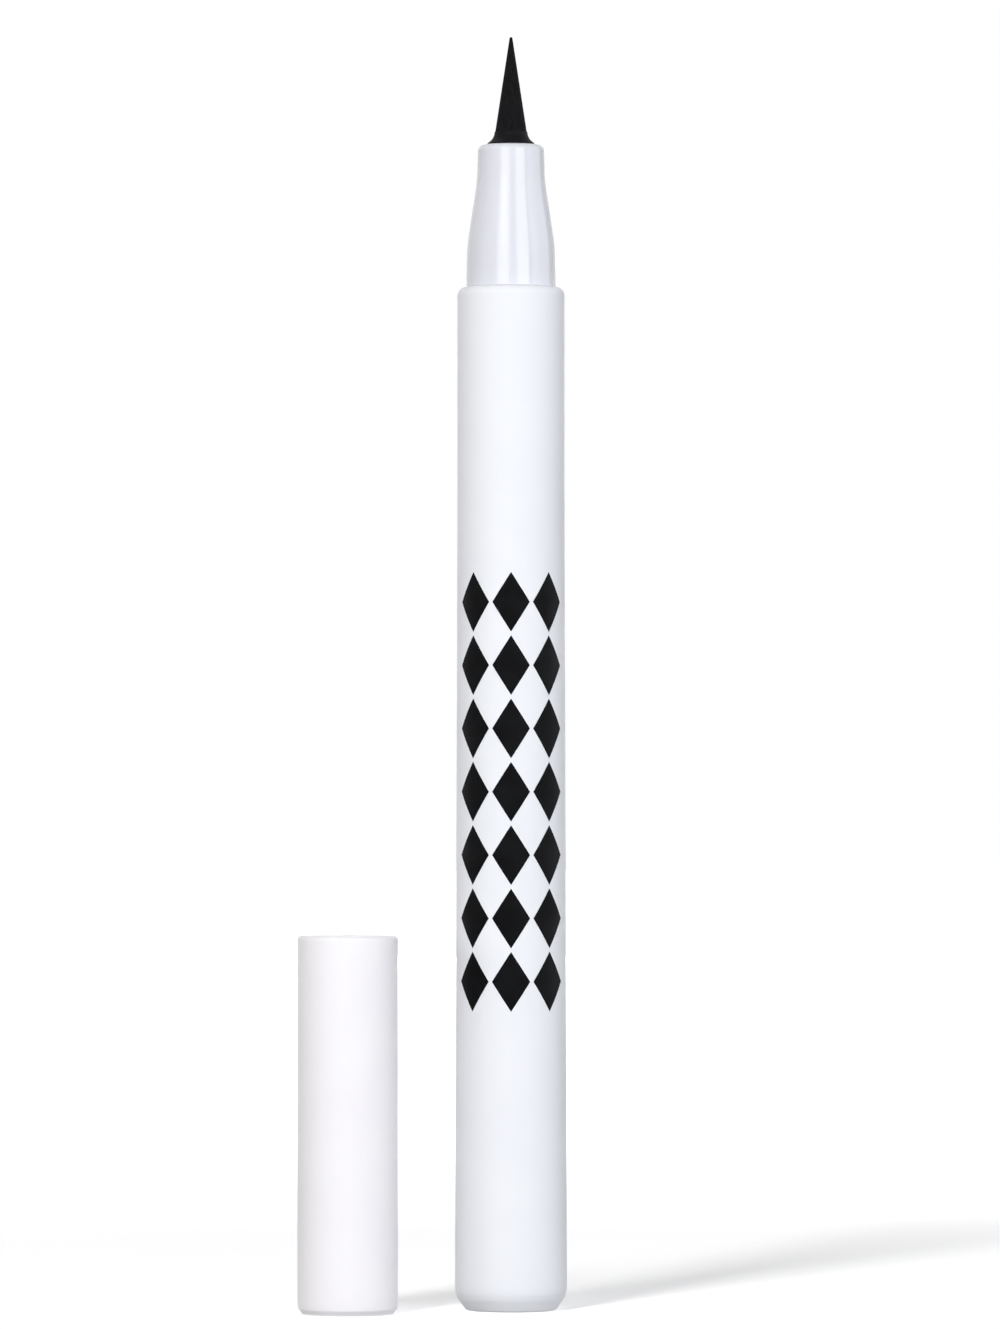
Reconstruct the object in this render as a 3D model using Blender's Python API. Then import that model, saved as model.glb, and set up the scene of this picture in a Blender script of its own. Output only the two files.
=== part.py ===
"""A liquid eyeliner pen with a felt nib, standing on its tail beside its cap, which stands on its mouth.

The pen is a free-ink pen. Ink and two mixing balls lie in a tank inside the barrel, behind a partition.
A feed rod carries ink from there to the nib, through a finned collector that holds what swells out when
the pen gets warm. The cap holds an inner cap, which a spring presses on the nose to keep the nib wet.
Lengths are in metres and +Z is up. The origin is the middle of the pen's foot.
"""

import math

import bmesh
import bpy
from mathutils import Matrix

# Gaps between pieces
PRESS_FIT = 0.00003  # round the pieces that are pressed together
SLIDE_FIT = 0.00008  # round the pieces that slide in one another
SEAT_GAP = 0.00005  # between two faces that meet

# Facets of round shapes
SEGMENTS = 40
SMALL_SEGMENTS = 24
ROD_SEGMENTS = 16
ARC_STEPS = 4
SHARP_ANGLE = math.radians(35)
OVERRUN = 0.0005  # how far a cutter runs past what it cuts

# Barrel
BARREL_LENGTH = 0.10055
BARREL_FRONT_RADIUS = 0.00536
BARREL_TAIL_RADIUS = 0.00561
BARREL_STRAIGHT = 0.0225  # behind the shoulder, before the barrel starts to widen
SHOULDER_ROUND = 0.00088
BARREL_WALL = 0.0006  # where the barrel is thinnest, which is at its narrower end
MOUTH_DEPTH = 0.0032

# Ink tank
TANK_WALL = 0.00063

# Seals
TANK_SEAL_SECTION = 0.0003
TANK_SEAL_HEIGHT = 0.0014  # above the tank plug's flange
SEAL_ROOM = 0.00006  # beside a seal in its groove

# Tank plug
TANK_FLANGE_HEIGHT = 0.0008
TANK_SPIGOT_LENGTH = 0.0034
TANK_SPIGOT_LEAD_IN = 0.0004

# Tail plug
TAIL_HEAD_HEIGHT = 0.0016
TAIL_CHAMFER = 0.00106
TAIL_HEAD_INSET = 0.00002  # how far the head's edge stays inside the barrel's
TAIL_SPIGOT_LENGTH = 0.0042
TAIL_PLUG_WALL = 0.0011

# Grip section
GRIP_LENGTH = 0.0142
GRIP_LEDGE = 0.00038  # how far its base covers the barrel's front face
GRIP_BAND_LENGTH = 0.0042
GRIP_BAND_DROP = 0.00009  # how much thinner the band's front end is than its base
GRIP_NOSE_LENGTH = 0.0036
GRIP_NOSE_RADIUS = 0.0034
GRIP_TIP_RADIUS = 0.0033
GRIP_TIP_ROUND = 0.0008
GRIP_BLEND = 0.0005  # half the length of the soft corner at each end of the taper
GRIP_WALL = 0.00075
SPIGOT_LENGTH = 0.0092
SPIGOT_LEAD_IN = 0.0003

# Felt nib and the collar it sits in
NIB_BASE_RADIUS = 0.00158
NIB_LENGTH = 0.0095
NIB_POINT_ROUND = 0.00011
NIB_SEAT_DEPTH = 0.0006
NIB_SHOULDER = 0.00038  # how much thinner its stem is
COLLAR_HEIGHT = 0.00125
COLLAR_FLARE_WIDTH = 0.00078
COLLAR_EDGE = 0.0001
COLLAR_LIP = 0.00004
COLLAR_NECK_LENGTH = 0.0015

# Nib holder, inside the grip section
HOLDER_WALL = 0.0007
HOLDER_SLEEVE_LENGTH = 0.0068
HOLDER_FLANGE_HEIGHT = 0.0014
HOLDER_TAIL_LENGTH = 0.0024
VENT_COUNT = 3
VENT_WIDTH = 0.0005
VENT_DEPTH = 0.0003

# Feed rod
ROD_RADIUS = 0.0009
ROD_GRIP = 0.002  # how far it goes into the nib holder
ROD_REACH = 0.0006  # how far it reaches into the ink below the partition

# Collector
COLLECTOR_LENGTH = 0.0312
COLLECTOR_CORE_RADIUS = 0.0021
COLLECTOR_NECK_GAP = 0.00006
FIN_COUNT = 18
FIN_THICKNESS = 0.0006
SLIT_WIDTH = 0.0006
SLIT_FLOOR = 0.0004  # wall left between the slit and the feed rod's bore

# Partition between the ink and the collector
PARTITION_HEIGHT = 0.0038
PARTITION_RIB = 0.0006
PARTITION_RIB_DEPTH = 0.0003
PARTITION_FUNNEL_RADIUS = 0.0024
PARTITION_FUNNEL_DEPTH = 0.0012

# Mixing balls, which lie side by side across the tank
BALL_ROOM = 0.00035  # between a ball and the tank's wall
BALL_GAP = 0.0001  # between a ball and the tank's middle
BALL_RINGS = 10
BALL_SEGMENTS = 20

# Cap
CAP_CLEARANCE = 0.00008  # round the grip section, when the cap is on
CAP_SKIRT_WALL = 0.00044  # where the cap is thinnest
CAP_SKIRT_DEPTH = 0.0046
CAP_SKIRT_STEP = 0.0005
CAP_MOUTH_ROUND = 0.00036
CAP_MOUTH_ROUND_HEIGHT = 0.0007
CAP_END_THICKNESS = 0.0011
CAP_END_ROUND = 0.00045
STOP_BEAD_HEIGHT = 0.0082  # above the mouth
STOP_BEAD_THICKNESS = 0.0007
CAP_STANDING_GAP = 0.0056  # between the pen and the cap that stands beside it
CAP_FORWARD = 0.0058  # how far it stands in front of the pen

# Inner cap and its spring
INNER_CAP_WALL = 0.00064
INNER_CAP_PUSH = 0.001  # how far the nose pushes it up when the cap is on
INNER_CAP_HEADROOM = 0.0013  # above the nib, when the cap is on
INNER_CAP_BAND = 0.0065
INNER_CAP_RELIEF = 0.0002
SPRING_POST_LENGTH = 0.0032
SPRING_LENGTH = 0.0093
SPRING_RADIUS = 0.0026
SPRING_WIRE_RADIUS = 0.0002
SPRING_TURNS = 6
TURN_POINTS = 12

# Places that several pieces share, worked out from the sizes above
BORE_RADIUS = min(BARREL_FRONT_RADIUS, BARREL_TAIL_RADIUS) - BARREL_WALL
TANK_RADIUS = BORE_RADIUS - PRESS_FIT
TANK_BORE = TANK_RADIUS - TANK_WALL
BARREL_BASE_Z = TAIL_HEAD_HEIGHT + SEAT_GAP
SHOULDER_Z = BARREL_BASE_Z + BARREL_LENGTH
MOUTH_FLOOR_Z = SHOULDER_Z - MOUTH_DEPTH

SPIGOT_RADIUS = TANK_BORE - PRESS_FIT
SPIGOT_END_Z = SHOULDER_Z - SPIGOT_LENGTH
FRONT_SEAL_MIDDLE = (BORE_RADIUS + SPIGOT_RADIUS) / 2
FRONT_SEAL_SECTION = (BORE_RADIUS - SPIGOT_RADIUS) / 2 - PRESS_FIT
FRONT_SEAL_Z = MOUTH_FLOOR_Z - SEAT_GAP - FRONT_SEAL_SECTION
TANK_TOP_Z = FRONT_SEAL_Z - FRONT_SEAL_SECTION - SEAT_GAP

TAIL_SPIGOT_END_Z = BARREL_BASE_Z + TAIL_SPIGOT_LENGTH
TANK_FLANGE_BASE_Z = TAIL_SPIGOT_END_Z + SEAT_GAP
TANK_FLANGE_TOP_Z = TANK_FLANGE_BASE_Z + TANK_FLANGE_HEIGHT
TANK_BASE_Z = TANK_FLANGE_TOP_Z + SEAT_GAP
TANK_FLOOR_Z = TANK_FLANGE_TOP_Z + TANK_SPIGOT_LENGTH
TANK_SEAL_Z = TANK_FLANGE_TOP_Z + TANK_SEAL_HEIGHT
TANK_SEAL_MIDDLE = TANK_BORE - PRESS_FIT - TANK_SEAL_SECTION

GRIP_BASE_RADIUS = TANK_BORE + GRIP_LEDGE
GRIP_BAND_RADIUS = GRIP_BASE_RADIUS - GRIP_BAND_DROP
GRIP_BASE_Z = SHOULDER_Z + SEAT_GAP
GRIP_TOP_Z = GRIP_BASE_Z + GRIP_LENGTH
TAPER_START = GRIP_BAND_LENGTH
TAPER_END = GRIP_LENGTH - GRIP_NOSE_LENGTH

NIB_STEM_RADIUS = NIB_BASE_RADIUS - NIB_SHOULDER
STEM_BORE = NIB_STEM_RADIUS + PRESS_FIT
HOLDER_RADIUS = STEM_BORE + HOLDER_WALL
FRONT_BORE = HOLDER_RADIUS + PRESS_FIT
COLLAR_BASE_Z = GRIP_TOP_Z + SEAT_GAP
COLLAR_TOP_Z = COLLAR_BASE_Z + COLLAR_HEIGHT
COLLAR_NECK_END_Z = COLLAR_BASE_Z - COLLAR_NECK_LENGTH
NIB_SEAT_Z = COLLAR_TOP_Z - NIB_SEAT_DEPTH
NIB_POINT_Z = COLLAR_TOP_Z + NIB_LENGTH
HOLDER_TOP_Z = COLLAR_NECK_END_Z - SEAT_GAP
CHAMBER_TOP_Z = HOLDER_TOP_Z - HOLDER_SLEEVE_LENGTH
FLANGE_TOP_Z = CHAMBER_TOP_Z - SEAT_GAP
FLANGE_END_Z = FLANGE_TOP_Z - HOLDER_FLANGE_HEIGHT
HOLDER_END_Z = FLANGE_END_Z - HOLDER_TAIL_LENGTH

ROD_BORE = ROD_RADIUS + SEAT_GAP
ROD_TOP_Z = HOLDER_END_Z + ROD_GRIP
NIB_END_Z = ROD_TOP_Z + SEAT_GAP
FIN_RADIUS = TANK_BORE - PRESS_FIT
FIN_TOP_Z = SPIGOT_END_Z - SEAT_GAP
FIN_END_Z = FIN_TOP_Z - COLLECTOR_LENGTH
PARTITION_TOP_Z = FIN_END_Z - SEAT_GAP
PARTITION_END_Z = PARTITION_TOP_Z - PARTITION_HEIGHT
ROD_END_Z = PARTITION_END_Z - ROD_REACH
BALL_RADIUS = (TANK_BORE - BALL_ROOM - BALL_GAP) / 2
BALL_OFFSET = BALL_GAP + BALL_RADIUS
BALL_REST_Z = TANK_FLOOR_Z + SEAT_GAP + BALL_RADIUS


def grip_radius(height):
    """The grip section's outer radius at a height above its base, with sharp corners to its taper."""
    if height <= TAPER_START:
        share = height / TAPER_START
        return GRIP_BASE_RADIUS + (GRIP_BAND_RADIUS - GRIP_BASE_RADIUS) * share
    if height <= TAPER_END:
        share = (height - TAPER_START) / (TAPER_END - TAPER_START)
        return GRIP_BAND_RADIUS + (GRIP_NOSE_RADIUS - GRIP_BAND_RADIUS) * share
    share = (height - TAPER_END) / GRIP_NOSE_LENGTH
    return GRIP_NOSE_RADIUS + (GRIP_TIP_RADIUS - GRIP_NOSE_RADIUS) * share


CHAMBER_RADIUS = min(grip_radius(CHAMBER_TOP_Z - GRIP_BASE_Z), SPIGOT_RADIUS) - GRIP_WALL

# Places in the cap, measured up from its mouth, which meets the pen's shoulder when the cap is on
SKIRT_RADIUS = GRIP_BASE_RADIUS + CAP_CLEARANCE
BEAD_RADIUS = grip_radius(STOP_BEAD_HEIGHT - STOP_BEAD_THICKNESS) + CAP_CLEARANCE
INNER_MOUTH = STOP_BEAD_HEIGHT + SEAT_GAP
INNER_BORE = grip_radius(INNER_MOUTH + INNER_CAP_PUSH)
INNER_RADIUS = INNER_BORE + INNER_CAP_WALL
CAP_BORE = INNER_RADIUS + SLIDE_FIT
CAP_RADIUS = max(SKIRT_RADIUS, CAP_BORE) + CAP_SKIRT_WALL
INNER_CEILING = NIB_POINT_Z - SHOULDER_Z + INNER_CAP_HEADROOM
INNER_TOP = INNER_CEILING + INNER_CAP_WALL
SPRING_BASE = INNER_TOP + SEAT_GAP
SPRING_TOP = SPRING_BASE + SPRING_LENGTH
CAP_CEILING = SPRING_TOP + SEAT_GAP
CAP_TOP = CAP_CEILING + CAP_END_THICKNESS
POST_RADIUS = SPRING_RADIUS - SPRING_WIRE_RADIUS - SLIDE_FIT
CAP_X = -(BARREL_TAIL_RADIUS + CAP_STANDING_GAP + CAP_RADIUS)
CAP_Y = -CAP_FORWARD


def clear_scene():
    for obj in list(bpy.data.objects):
        bpy.data.objects.remove(obj, do_unlink=True)


def finish(name, colour, roughness, metallic=0.0):
    """A plain material in the piece's own colour."""
    material = bpy.data.materials.new(name)
    material.use_nodes = True
    shader = material.node_tree.nodes["Principled BSDF"]
    shader.inputs["Base Color"].default_value = (*colour, 1.0)
    shader.inputs["Roughness"].default_value = roughness
    shader.inputs["Metallic"].default_value = metallic
    material.diffuse_color = (*colour, 1.0)
    return material


def placed(name, data, material, parent, location=(0, 0, 0)):
    """Links a piece to the scene, under the empty that carries it."""
    obj = bpy.data.objects.new(name, data)
    bpy.context.scene.collection.objects.link(obj)
    if material:
        data.materials.append(material)
    obj.parent = parent
    obj.location = location
    return obj


def axis_empty(name, location, parent=None):
    """An empty on a body's axis, which carries its pieces."""
    empty = bpy.data.objects.new(name, None)
    bpy.context.scene.collection.objects.link(empty)
    empty.empty_display_size = BARREL_TAIL_RADIUS
    empty.parent = parent
    empty.location = location
    return empty


def arc(radius, height, size, start, end, steps=ARC_STEPS, rise=None):
    """Points of an arc round (radius, height), from angle start to end in degrees.

    An angle of 0 points outwards and 90 up. With a rise, the arc is part of an ellipse: size across, rise up.
    """
    angles = [math.radians(start + (end - start) * i / steps) for i in range(steps + 1)]
    rise = rise or size
    return [(radius + size * math.cos(a), height + rise * math.sin(a)) for a in angles]


def smooth(mesh):
    mesh.shade_smooth()
    mesh.set_sharp_from_angle(angle=SHARP_ANGLE)


def turned(outline, segments=SEGMENTS):
    """The mesh of a round piece: its half section, (radius, height) points in order, spun round the Z axis.

    An outline that starts and ends on the axis gives a solid body, and any other one is closed into a ring.
    """
    bm = bmesh.new()
    points = [bm.verts.new((radius, 0, height)) for radius, height in outline]
    pairs = list(zip(points, points[1:]))
    if outline[0][0] > 0 or outline[-1][0] > 0:
        pairs.append((points[-1], points[0]))
    edges = [bm.edges.new(pair) for pair in pairs]
    bmesh.ops.spin(
        bm, geom=points + edges, cent=(0, 0, 0), axis=(0, 0, 1), dvec=(0, 0, 0),
        angle=math.tau, steps=segments, use_merge=True,
    )
    smallest = min(SEAT_GAP, PRESS_FIT) / segments
    bmesh.ops.remove_doubles(bm, verts=bm.verts[:], dist=smallest)
    bmesh.ops.recalc_face_normals(bm, faces=bm.faces[:])
    mesh = bpy.data.meshes.new("turned")
    bm.to_mesh(mesh)
    bm.free()
    smooth(mesh)
    return mesh


def block_cutter(name, low, high, count, parent):
    """A cutter of count blocks, spaced evenly round the Z axis. The first lies between two corners."""
    bm = bmesh.new()
    middle = [(a + b) / 2 for a, b in zip(low, high)]
    size = [b - a for a, b in zip(low, high)]
    for i in range(count):
        block = bmesh.ops.create_cube(bm, size=1)
        bmesh.ops.scale(bm, vec=size, verts=block["verts"])
        bmesh.ops.translate(bm, vec=middle, verts=block["verts"])
        turn = Matrix.Rotation(math.tau * i / count, 3, "Z")
        bmesh.ops.rotate(bm, cent=(0, 0, 0), matrix=turn, verts=block["verts"])
    mesh = bpy.data.meshes.new(name)
    bm.to_mesh(mesh)
    bm.free()
    cutter = placed(name, mesh, None, parent)
    cutter.hide_render = True
    cutter.display_type = "WIRE"
    return cutter


def cut(obj, cutter):
    modifier = obj.modifiers.new("cut", "BOOLEAN")
    modifier.operation = "DIFFERENCE"
    modifier.solver = "EXACT"
    modifier.object = cutter


def barrel():
    """The outer tube. It widens a little towards its open tail, as a tube moulded round a core does."""
    shoulder = arc(
        BARREL_FRONT_RADIUS - SHOULDER_ROUND, SHOULDER_Z - SHOULDER_ROUND, SHOULDER_ROUND, 90, 0
    )
    return turned([
        (TANK_BORE, SHOULDER_Z),
        *shoulder,
        (BARREL_FRONT_RADIUS, SHOULDER_Z - BARREL_STRAIGHT),
        (BARREL_TAIL_RADIUS, BARREL_BASE_Z),
        (BORE_RADIUS, BARREL_BASE_Z),
        (BORE_RADIUS, MOUTH_FLOOR_Z),
        (TANK_BORE, MOUTH_FLOOR_Z),
    ])


def ink_tank():
    """The tube inside the barrel, from the tank plug to the front seal. Its bore is as wide as the mouth."""
    return turned([
        (TANK_BORE, TANK_TOP_Z),
        (TANK_RADIUS, TANK_TOP_Z),
        (TANK_RADIUS, TANK_BASE_Z),
        (TANK_BORE, TANK_BASE_Z),
    ])


def tank_plug():
    """The plug in the tank's tail end, with a groove for its seal. The tail plug keeps it in place."""
    spigot = TANK_BORE - PRESS_FIT
    groove = TANK_SEAL_MIDDLE - TANK_SEAL_SECTION - PRESS_FIT
    groove_half = TANK_SEAL_SECTION + SEAL_ROOM
    return turned([
        (0, TANK_FLOOR_Z),
        (spigot - TANK_SPIGOT_LEAD_IN, TANK_FLOOR_Z),
        (spigot, TANK_FLOOR_Z - TANK_SPIGOT_LEAD_IN),
        (spigot, TANK_SEAL_Z + groove_half),
        (groove, TANK_SEAL_Z + groove_half),
        (groove, TANK_SEAL_Z - groove_half),
        (spigot, TANK_SEAL_Z - groove_half),
        (spigot, TANK_FLANGE_TOP_Z),
        (TANK_RADIUS, TANK_FLANGE_TOP_Z),
        (TANK_RADIUS, TANK_FLANGE_BASE_Z),
        (0, TANK_FLANGE_BASE_Z),
    ])


def seal_ring(middle, section):
    """An O-ring with its centre at the origin. It has as many facets round it as the walls that it seals."""
    ring = arc(middle, 0, section, 90, -270, 2 * ARC_STEPS)
    return turned(ring[:-1])


def tail_plug():
    """The plug that closes the barrel. Its chamfered head is the pen's foot, and it is hollow like a cup."""
    head = BARREL_TAIL_RADIUS - TAIL_HEAD_INSET
    hollow = TANK_RADIUS - TAIL_PLUG_WALL
    return turned([
        (0, TAIL_PLUG_WALL),
        (hollow, TAIL_PLUG_WALL),
        (hollow, TAIL_SPIGOT_END_Z),
        (TANK_RADIUS, TAIL_SPIGOT_END_Z),
        (TANK_RADIUS, TAIL_HEAD_HEIGHT),
        (head, TAIL_HEAD_HEIGHT),
        (head - TAIL_CHAMFER, 0),
        (0, 0),
    ])


def soft_corner(middle, reach):
    """Three points of the grip section's outline that soften a corner of its taper, from front to back."""
    low, high = middle - reach, middle + reach
    mean = (grip_radius(low) + grip_radius(high)) / 2
    return [
        (grip_radius(high), GRIP_BASE_Z + high),
        ((mean + grip_radius(middle)) / 2, GRIP_BASE_Z + middle),
        (grip_radius(low), GRIP_BASE_Z + low),
    ]


def grip_section():
    """The nose that the fingers hold. Its spigot goes through the barrel's mouth into the tank."""
    round_height = GRIP_TOP_Z - GRIP_TIP_ROUND
    return turned([
        (FRONT_BORE, GRIP_TOP_Z),
        *arc(GRIP_TIP_RADIUS - GRIP_TIP_ROUND, round_height, GRIP_TIP_ROUND, 90, 0),
        *soft_corner(TAPER_END, GRIP_BLEND),
        *soft_corner(TAPER_START, GRIP_BLEND),
        (GRIP_BASE_RADIUS, GRIP_BASE_Z),
        (SPIGOT_RADIUS, GRIP_BASE_Z),
        (SPIGOT_RADIUS, SPIGOT_END_Z + SPIGOT_LEAD_IN),
        (SPIGOT_RADIUS - SPIGOT_LEAD_IN, SPIGOT_END_Z),
        (CHAMBER_RADIUS, SPIGOT_END_Z),
        (CHAMBER_RADIUS, CHAMBER_TOP_Z),
        (FRONT_BORE, CHAMBER_TOP_Z),
    ])


def tip_collar():
    """A collar that flares over the grip section's mouth, with a neck inside it."""
    top_radius = NIB_BASE_RADIUS + PRESS_FIT + COLLAR_LIP
    flare_height = COLLAR_HEIGHT - COLLAR_EDGE
    shares = [i / ARC_STEPS for i in range(ARC_STEPS + 1)]
    flare = [
        (top_radius + COLLAR_FLARE_WIDTH * share**2, COLLAR_TOP_Z - flare_height * share)
        for share in shares
    ]
    seat_floor = NIB_SEAT_Z - SEAT_GAP
    return turned([
        *flare,
        (top_radius + COLLAR_FLARE_WIDTH, COLLAR_BASE_Z),
        (HOLDER_RADIUS, COLLAR_BASE_Z),
        (HOLDER_RADIUS, COLLAR_NECK_END_Z),
        (STEM_BORE, COLLAR_NECK_END_Z),
        (STEM_BORE, seat_floor),
        (NIB_BASE_RADIUS + PRESS_FIT, seat_floor),
        (NIB_BASE_RADIUS + PRESS_FIT, COLLAR_TOP_Z),
    ], SMALL_SEGMENTS)


def felt_nib():
    """A cone with a rounded point, a seat in the collar and a stem that goes down to the feed rod."""
    lean = math.degrees(math.atan2(NIB_BASE_RADIUS - NIB_POINT_ROUND, NIB_LENGTH - NIB_POINT_ROUND))
    point = arc(0, NIB_POINT_Z - NIB_POINT_ROUND, NIB_POINT_ROUND, 90, lean, ARC_STEPS - 1)
    return turned([
        (0, NIB_POINT_Z),
        *point[1:],
        (NIB_BASE_RADIUS, COLLAR_TOP_Z),
        (NIB_BASE_RADIUS, NIB_SEAT_Z),
        (NIB_STEM_RADIUS, NIB_SEAT_Z),
        (NIB_STEM_RADIUS, NIB_END_Z),
        (0, NIB_END_Z),
    ], SMALL_SEGMENTS)


def nib_holder(pen, material):
    """The sleeve that grips the nib's stem and the feed rod. Grooves along it let air back into the pen."""
    flange = CHAMBER_RADIUS - PRESS_FIT
    mesh = turned([
        (STEM_BORE, HOLDER_TOP_Z),
        (HOLDER_RADIUS, HOLDER_TOP_Z),
        (HOLDER_RADIUS, FLANGE_TOP_Z),
        (flange, FLANGE_TOP_Z),
        (flange, FLANGE_END_Z),
        (HOLDER_RADIUS, FLANGE_END_Z),
        (HOLDER_RADIUS, HOLDER_END_Z),
        (ROD_BORE, HOLDER_END_Z),
        (ROD_BORE, ROD_TOP_Z),
        (STEM_BORE, ROD_TOP_Z),
    ], SMALL_SEGMENTS)
    holder = placed("nib_holder", mesh, material, pen)
    low = (HOLDER_RADIUS - VENT_DEPTH, -VENT_WIDTH / 2, HOLDER_END_Z - OVERRUN)
    high = (flange + OVERRUN, VENT_WIDTH / 2, HOLDER_TOP_Z + OVERRUN)
    cut(holder, block_cutter("vent_cutter", low, high, VENT_COUNT, pen))


def collector_outline():
    """The collector's half section: a neck in the grip section, then fins on a core, round the rod's bore."""
    neck = CHAMBER_RADIUS - COLLECTOR_NECK_GAP
    socket = HOLDER_RADIUS + PRESS_FIT
    pitch = (COLLECTOR_LENGTH - FIN_THICKNESS) / (FIN_COUNT - 1)
    outline = [(socket, FLANGE_END_Z - SEAT_GAP), (neck, FLANGE_END_Z - SEAT_GAP), (neck, FIN_TOP_Z)]
    for i in range(FIN_COUNT):
        top = FIN_TOP_Z - pitch * i
        outline += [(FIN_RADIUS, top), (FIN_RADIUS, top - FIN_THICKNESS)]
        if i < FIN_COUNT - 1:
            outline += [(COLLECTOR_CORE_RADIUS, top - FIN_THICKNESS), (COLLECTOR_CORE_RADIUS, top - pitch)]
    socket_floor = HOLDER_END_Z - SEAT_GAP
    return outline + [(ROD_BORE, FIN_END_Z), (ROD_BORE, socket_floor), (socket, socket_floor)]


def collector(pen, material):
    """The comb that holds ink between its fins. A slit along it joins the spaces."""
    comb = placed("collector", turned(collector_outline(), SMALL_SEGMENTS), material, pen)
    low = (ROD_BORE + SLIT_FLOOR, -SLIT_WIDTH / 2, FIN_END_Z - OVERRUN)
    high = (FIN_RADIUS + OVERRUN, SLIT_WIDTH / 2, FIN_TOP_Z - FIN_THICKNESS)
    cut(comb, block_cutter("slit_cutter", low, high, 1, pen))


def partition():
    """The soft plug between the ink and the collector, with two ribs that seal on the tank."""
    rib = TANK_BORE - PRESS_FIT
    valley = rib - PARTITION_RIB_DEPTH
    return turned([
        (ROD_BORE, PARTITION_TOP_Z),
        (rib, PARTITION_TOP_Z),
        (rib, PARTITION_TOP_Z - PARTITION_RIB),
        (valley, PARTITION_TOP_Z - PARTITION_RIB),
        (valley, PARTITION_END_Z + PARTITION_RIB),
        (rib, PARTITION_END_Z + PARTITION_RIB),
        (rib, PARTITION_END_Z),
        (PARTITION_FUNNEL_RADIUS, PARTITION_END_Z),
        (ROD_BORE, PARTITION_END_Z + PARTITION_FUNNEL_DEPTH),
    ], SMALL_SEGMENTS)


def feed_rod():
    """The fibre rod that carries the ink from the tank to the nib."""
    return turned([
        (0, ROD_TOP_Z),
        (ROD_RADIUS, ROD_TOP_Z),
        (ROD_RADIUS, ROD_END_Z),
        (0, ROD_END_Z),
    ], ROD_SEGMENTS)


def mixing_ball(number, side, pen, steel):
    """A steel ball that rattles along the tank and stirs the ink."""
    bm = bmesh.new()
    bmesh.ops.create_uvsphere(bm, u_segments=BALL_SEGMENTS, v_segments=BALL_RINGS, radius=BALL_RADIUS)
    mesh = bpy.data.meshes.new("mixing_ball")
    bm.to_mesh(mesh)
    bm.free()
    smooth(mesh)
    path = axis_empty(f"ball_{number}_path", (side * BALL_OFFSET, 0, BALL_REST_Z), pen)
    placed(f"mixing_ball_{number}", mesh, steel, path)


def cap_shell():
    """The outer cap: a thin skirt for the grip section, a bead that stops the inner cap, and a closed end."""
    mouth_edge = arc(
        CAP_RADIUS - CAP_MOUTH_ROUND, CAP_MOUTH_ROUND_HEIGHT, CAP_MOUTH_ROUND, 0, -90,
        rise=CAP_MOUTH_ROUND_HEIGHT,
    )
    return turned([
        (0, CAP_TOP),
        *arc(CAP_RADIUS - CAP_END_ROUND, CAP_TOP - CAP_END_ROUND, CAP_END_ROUND, 90, 0),
        *mouth_edge,
        (SKIRT_RADIUS, 0),
        (SKIRT_RADIUS, CAP_SKIRT_DEPTH),
        (CAP_BORE, CAP_SKIRT_DEPTH + CAP_SKIRT_STEP),
        (CAP_BORE, STOP_BEAD_HEIGHT - 2 * STOP_BEAD_THICKNESS),
        (BEAD_RADIUS, STOP_BEAD_HEIGHT - STOP_BEAD_THICKNESS),
        (BEAD_RADIUS, STOP_BEAD_HEIGHT),
        (CAP_BORE, STOP_BEAD_HEIGHT),
        (CAP_BORE, CAP_CEILING),
        (POST_RADIUS, CAP_CEILING),
        (POST_RADIUS, CAP_CEILING - SPRING_POST_LENGTH),
        (0, CAP_CEILING - SPRING_POST_LENGTH),
    ])


def inner_cap():
    """The soft inner cap that closes on the nose, measured from its own mouth.

    Only its lower band touches the cap as it slides, and the post on its top guides the spring.
    """
    relieved = INNER_RADIUS - INNER_CAP_RELIEF
    ceiling = INNER_CEILING - INNER_MOUTH
    top = INNER_TOP - INNER_MOUTH
    return turned([
        (0, top + SPRING_POST_LENGTH),
        (POST_RADIUS, top + SPRING_POST_LENGTH),
        (POST_RADIUS, top),
        (relieved, top),
        (relieved, INNER_CAP_BAND),
        (INNER_RADIUS, INNER_CAP_BAND - INNER_CAP_RELIEF),
        (INNER_RADIUS, 0),
        (INNER_BORE, 0),
        (INNER_BORE, ceiling),
        (0, ceiling),
    ])


def spring_points():
    """The wire's middle line: a helix that keeps a wire radius from the inner cap and from the cap's end."""
    low = SPRING_BASE + SPRING_WIRE_RADIUS
    high = SPRING_TOP - SPRING_WIRE_RADIUS
    count = SPRING_TURNS * TURN_POINTS
    points = []
    for i in range(count + 1):
        angle = math.tau * i / TURN_POINTS
        height = low + (high - low) * i / count
        points.append((SPRING_RADIUS * math.cos(angle), SPRING_RADIUS * math.sin(angle), height))
    return points


def least_gap(points, skip):
    """The least space between the wire and itself, over points that are at least skip steps apart."""
    nearest = min(math.dist(a, b) for i, a in enumerate(points) for b in points[i + skip :])
    return nearest - 2 * SPRING_WIRE_RADIUS


def cap_spring():
    """The spring that presses the inner cap onto the nose."""
    points = spring_points()
    curve = bpy.data.curves.new("cap_spring", "CURVE")
    curve.dimensions = "3D"
    curve.bevel_depth = SPRING_WIRE_RADIUS
    curve.bevel_resolution = 1
    curve.use_fill_caps = True
    wire = curve.splines.new("POLY")
    wire.points.add(len(points) - 1)
    for point, place in zip(wire.points, points):
        point.co = (*place, 1)
    print(f"least gap between the spring's turns: {least_gap(points, TURN_POINTS // 2):.5f} m")
    return curve


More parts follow.
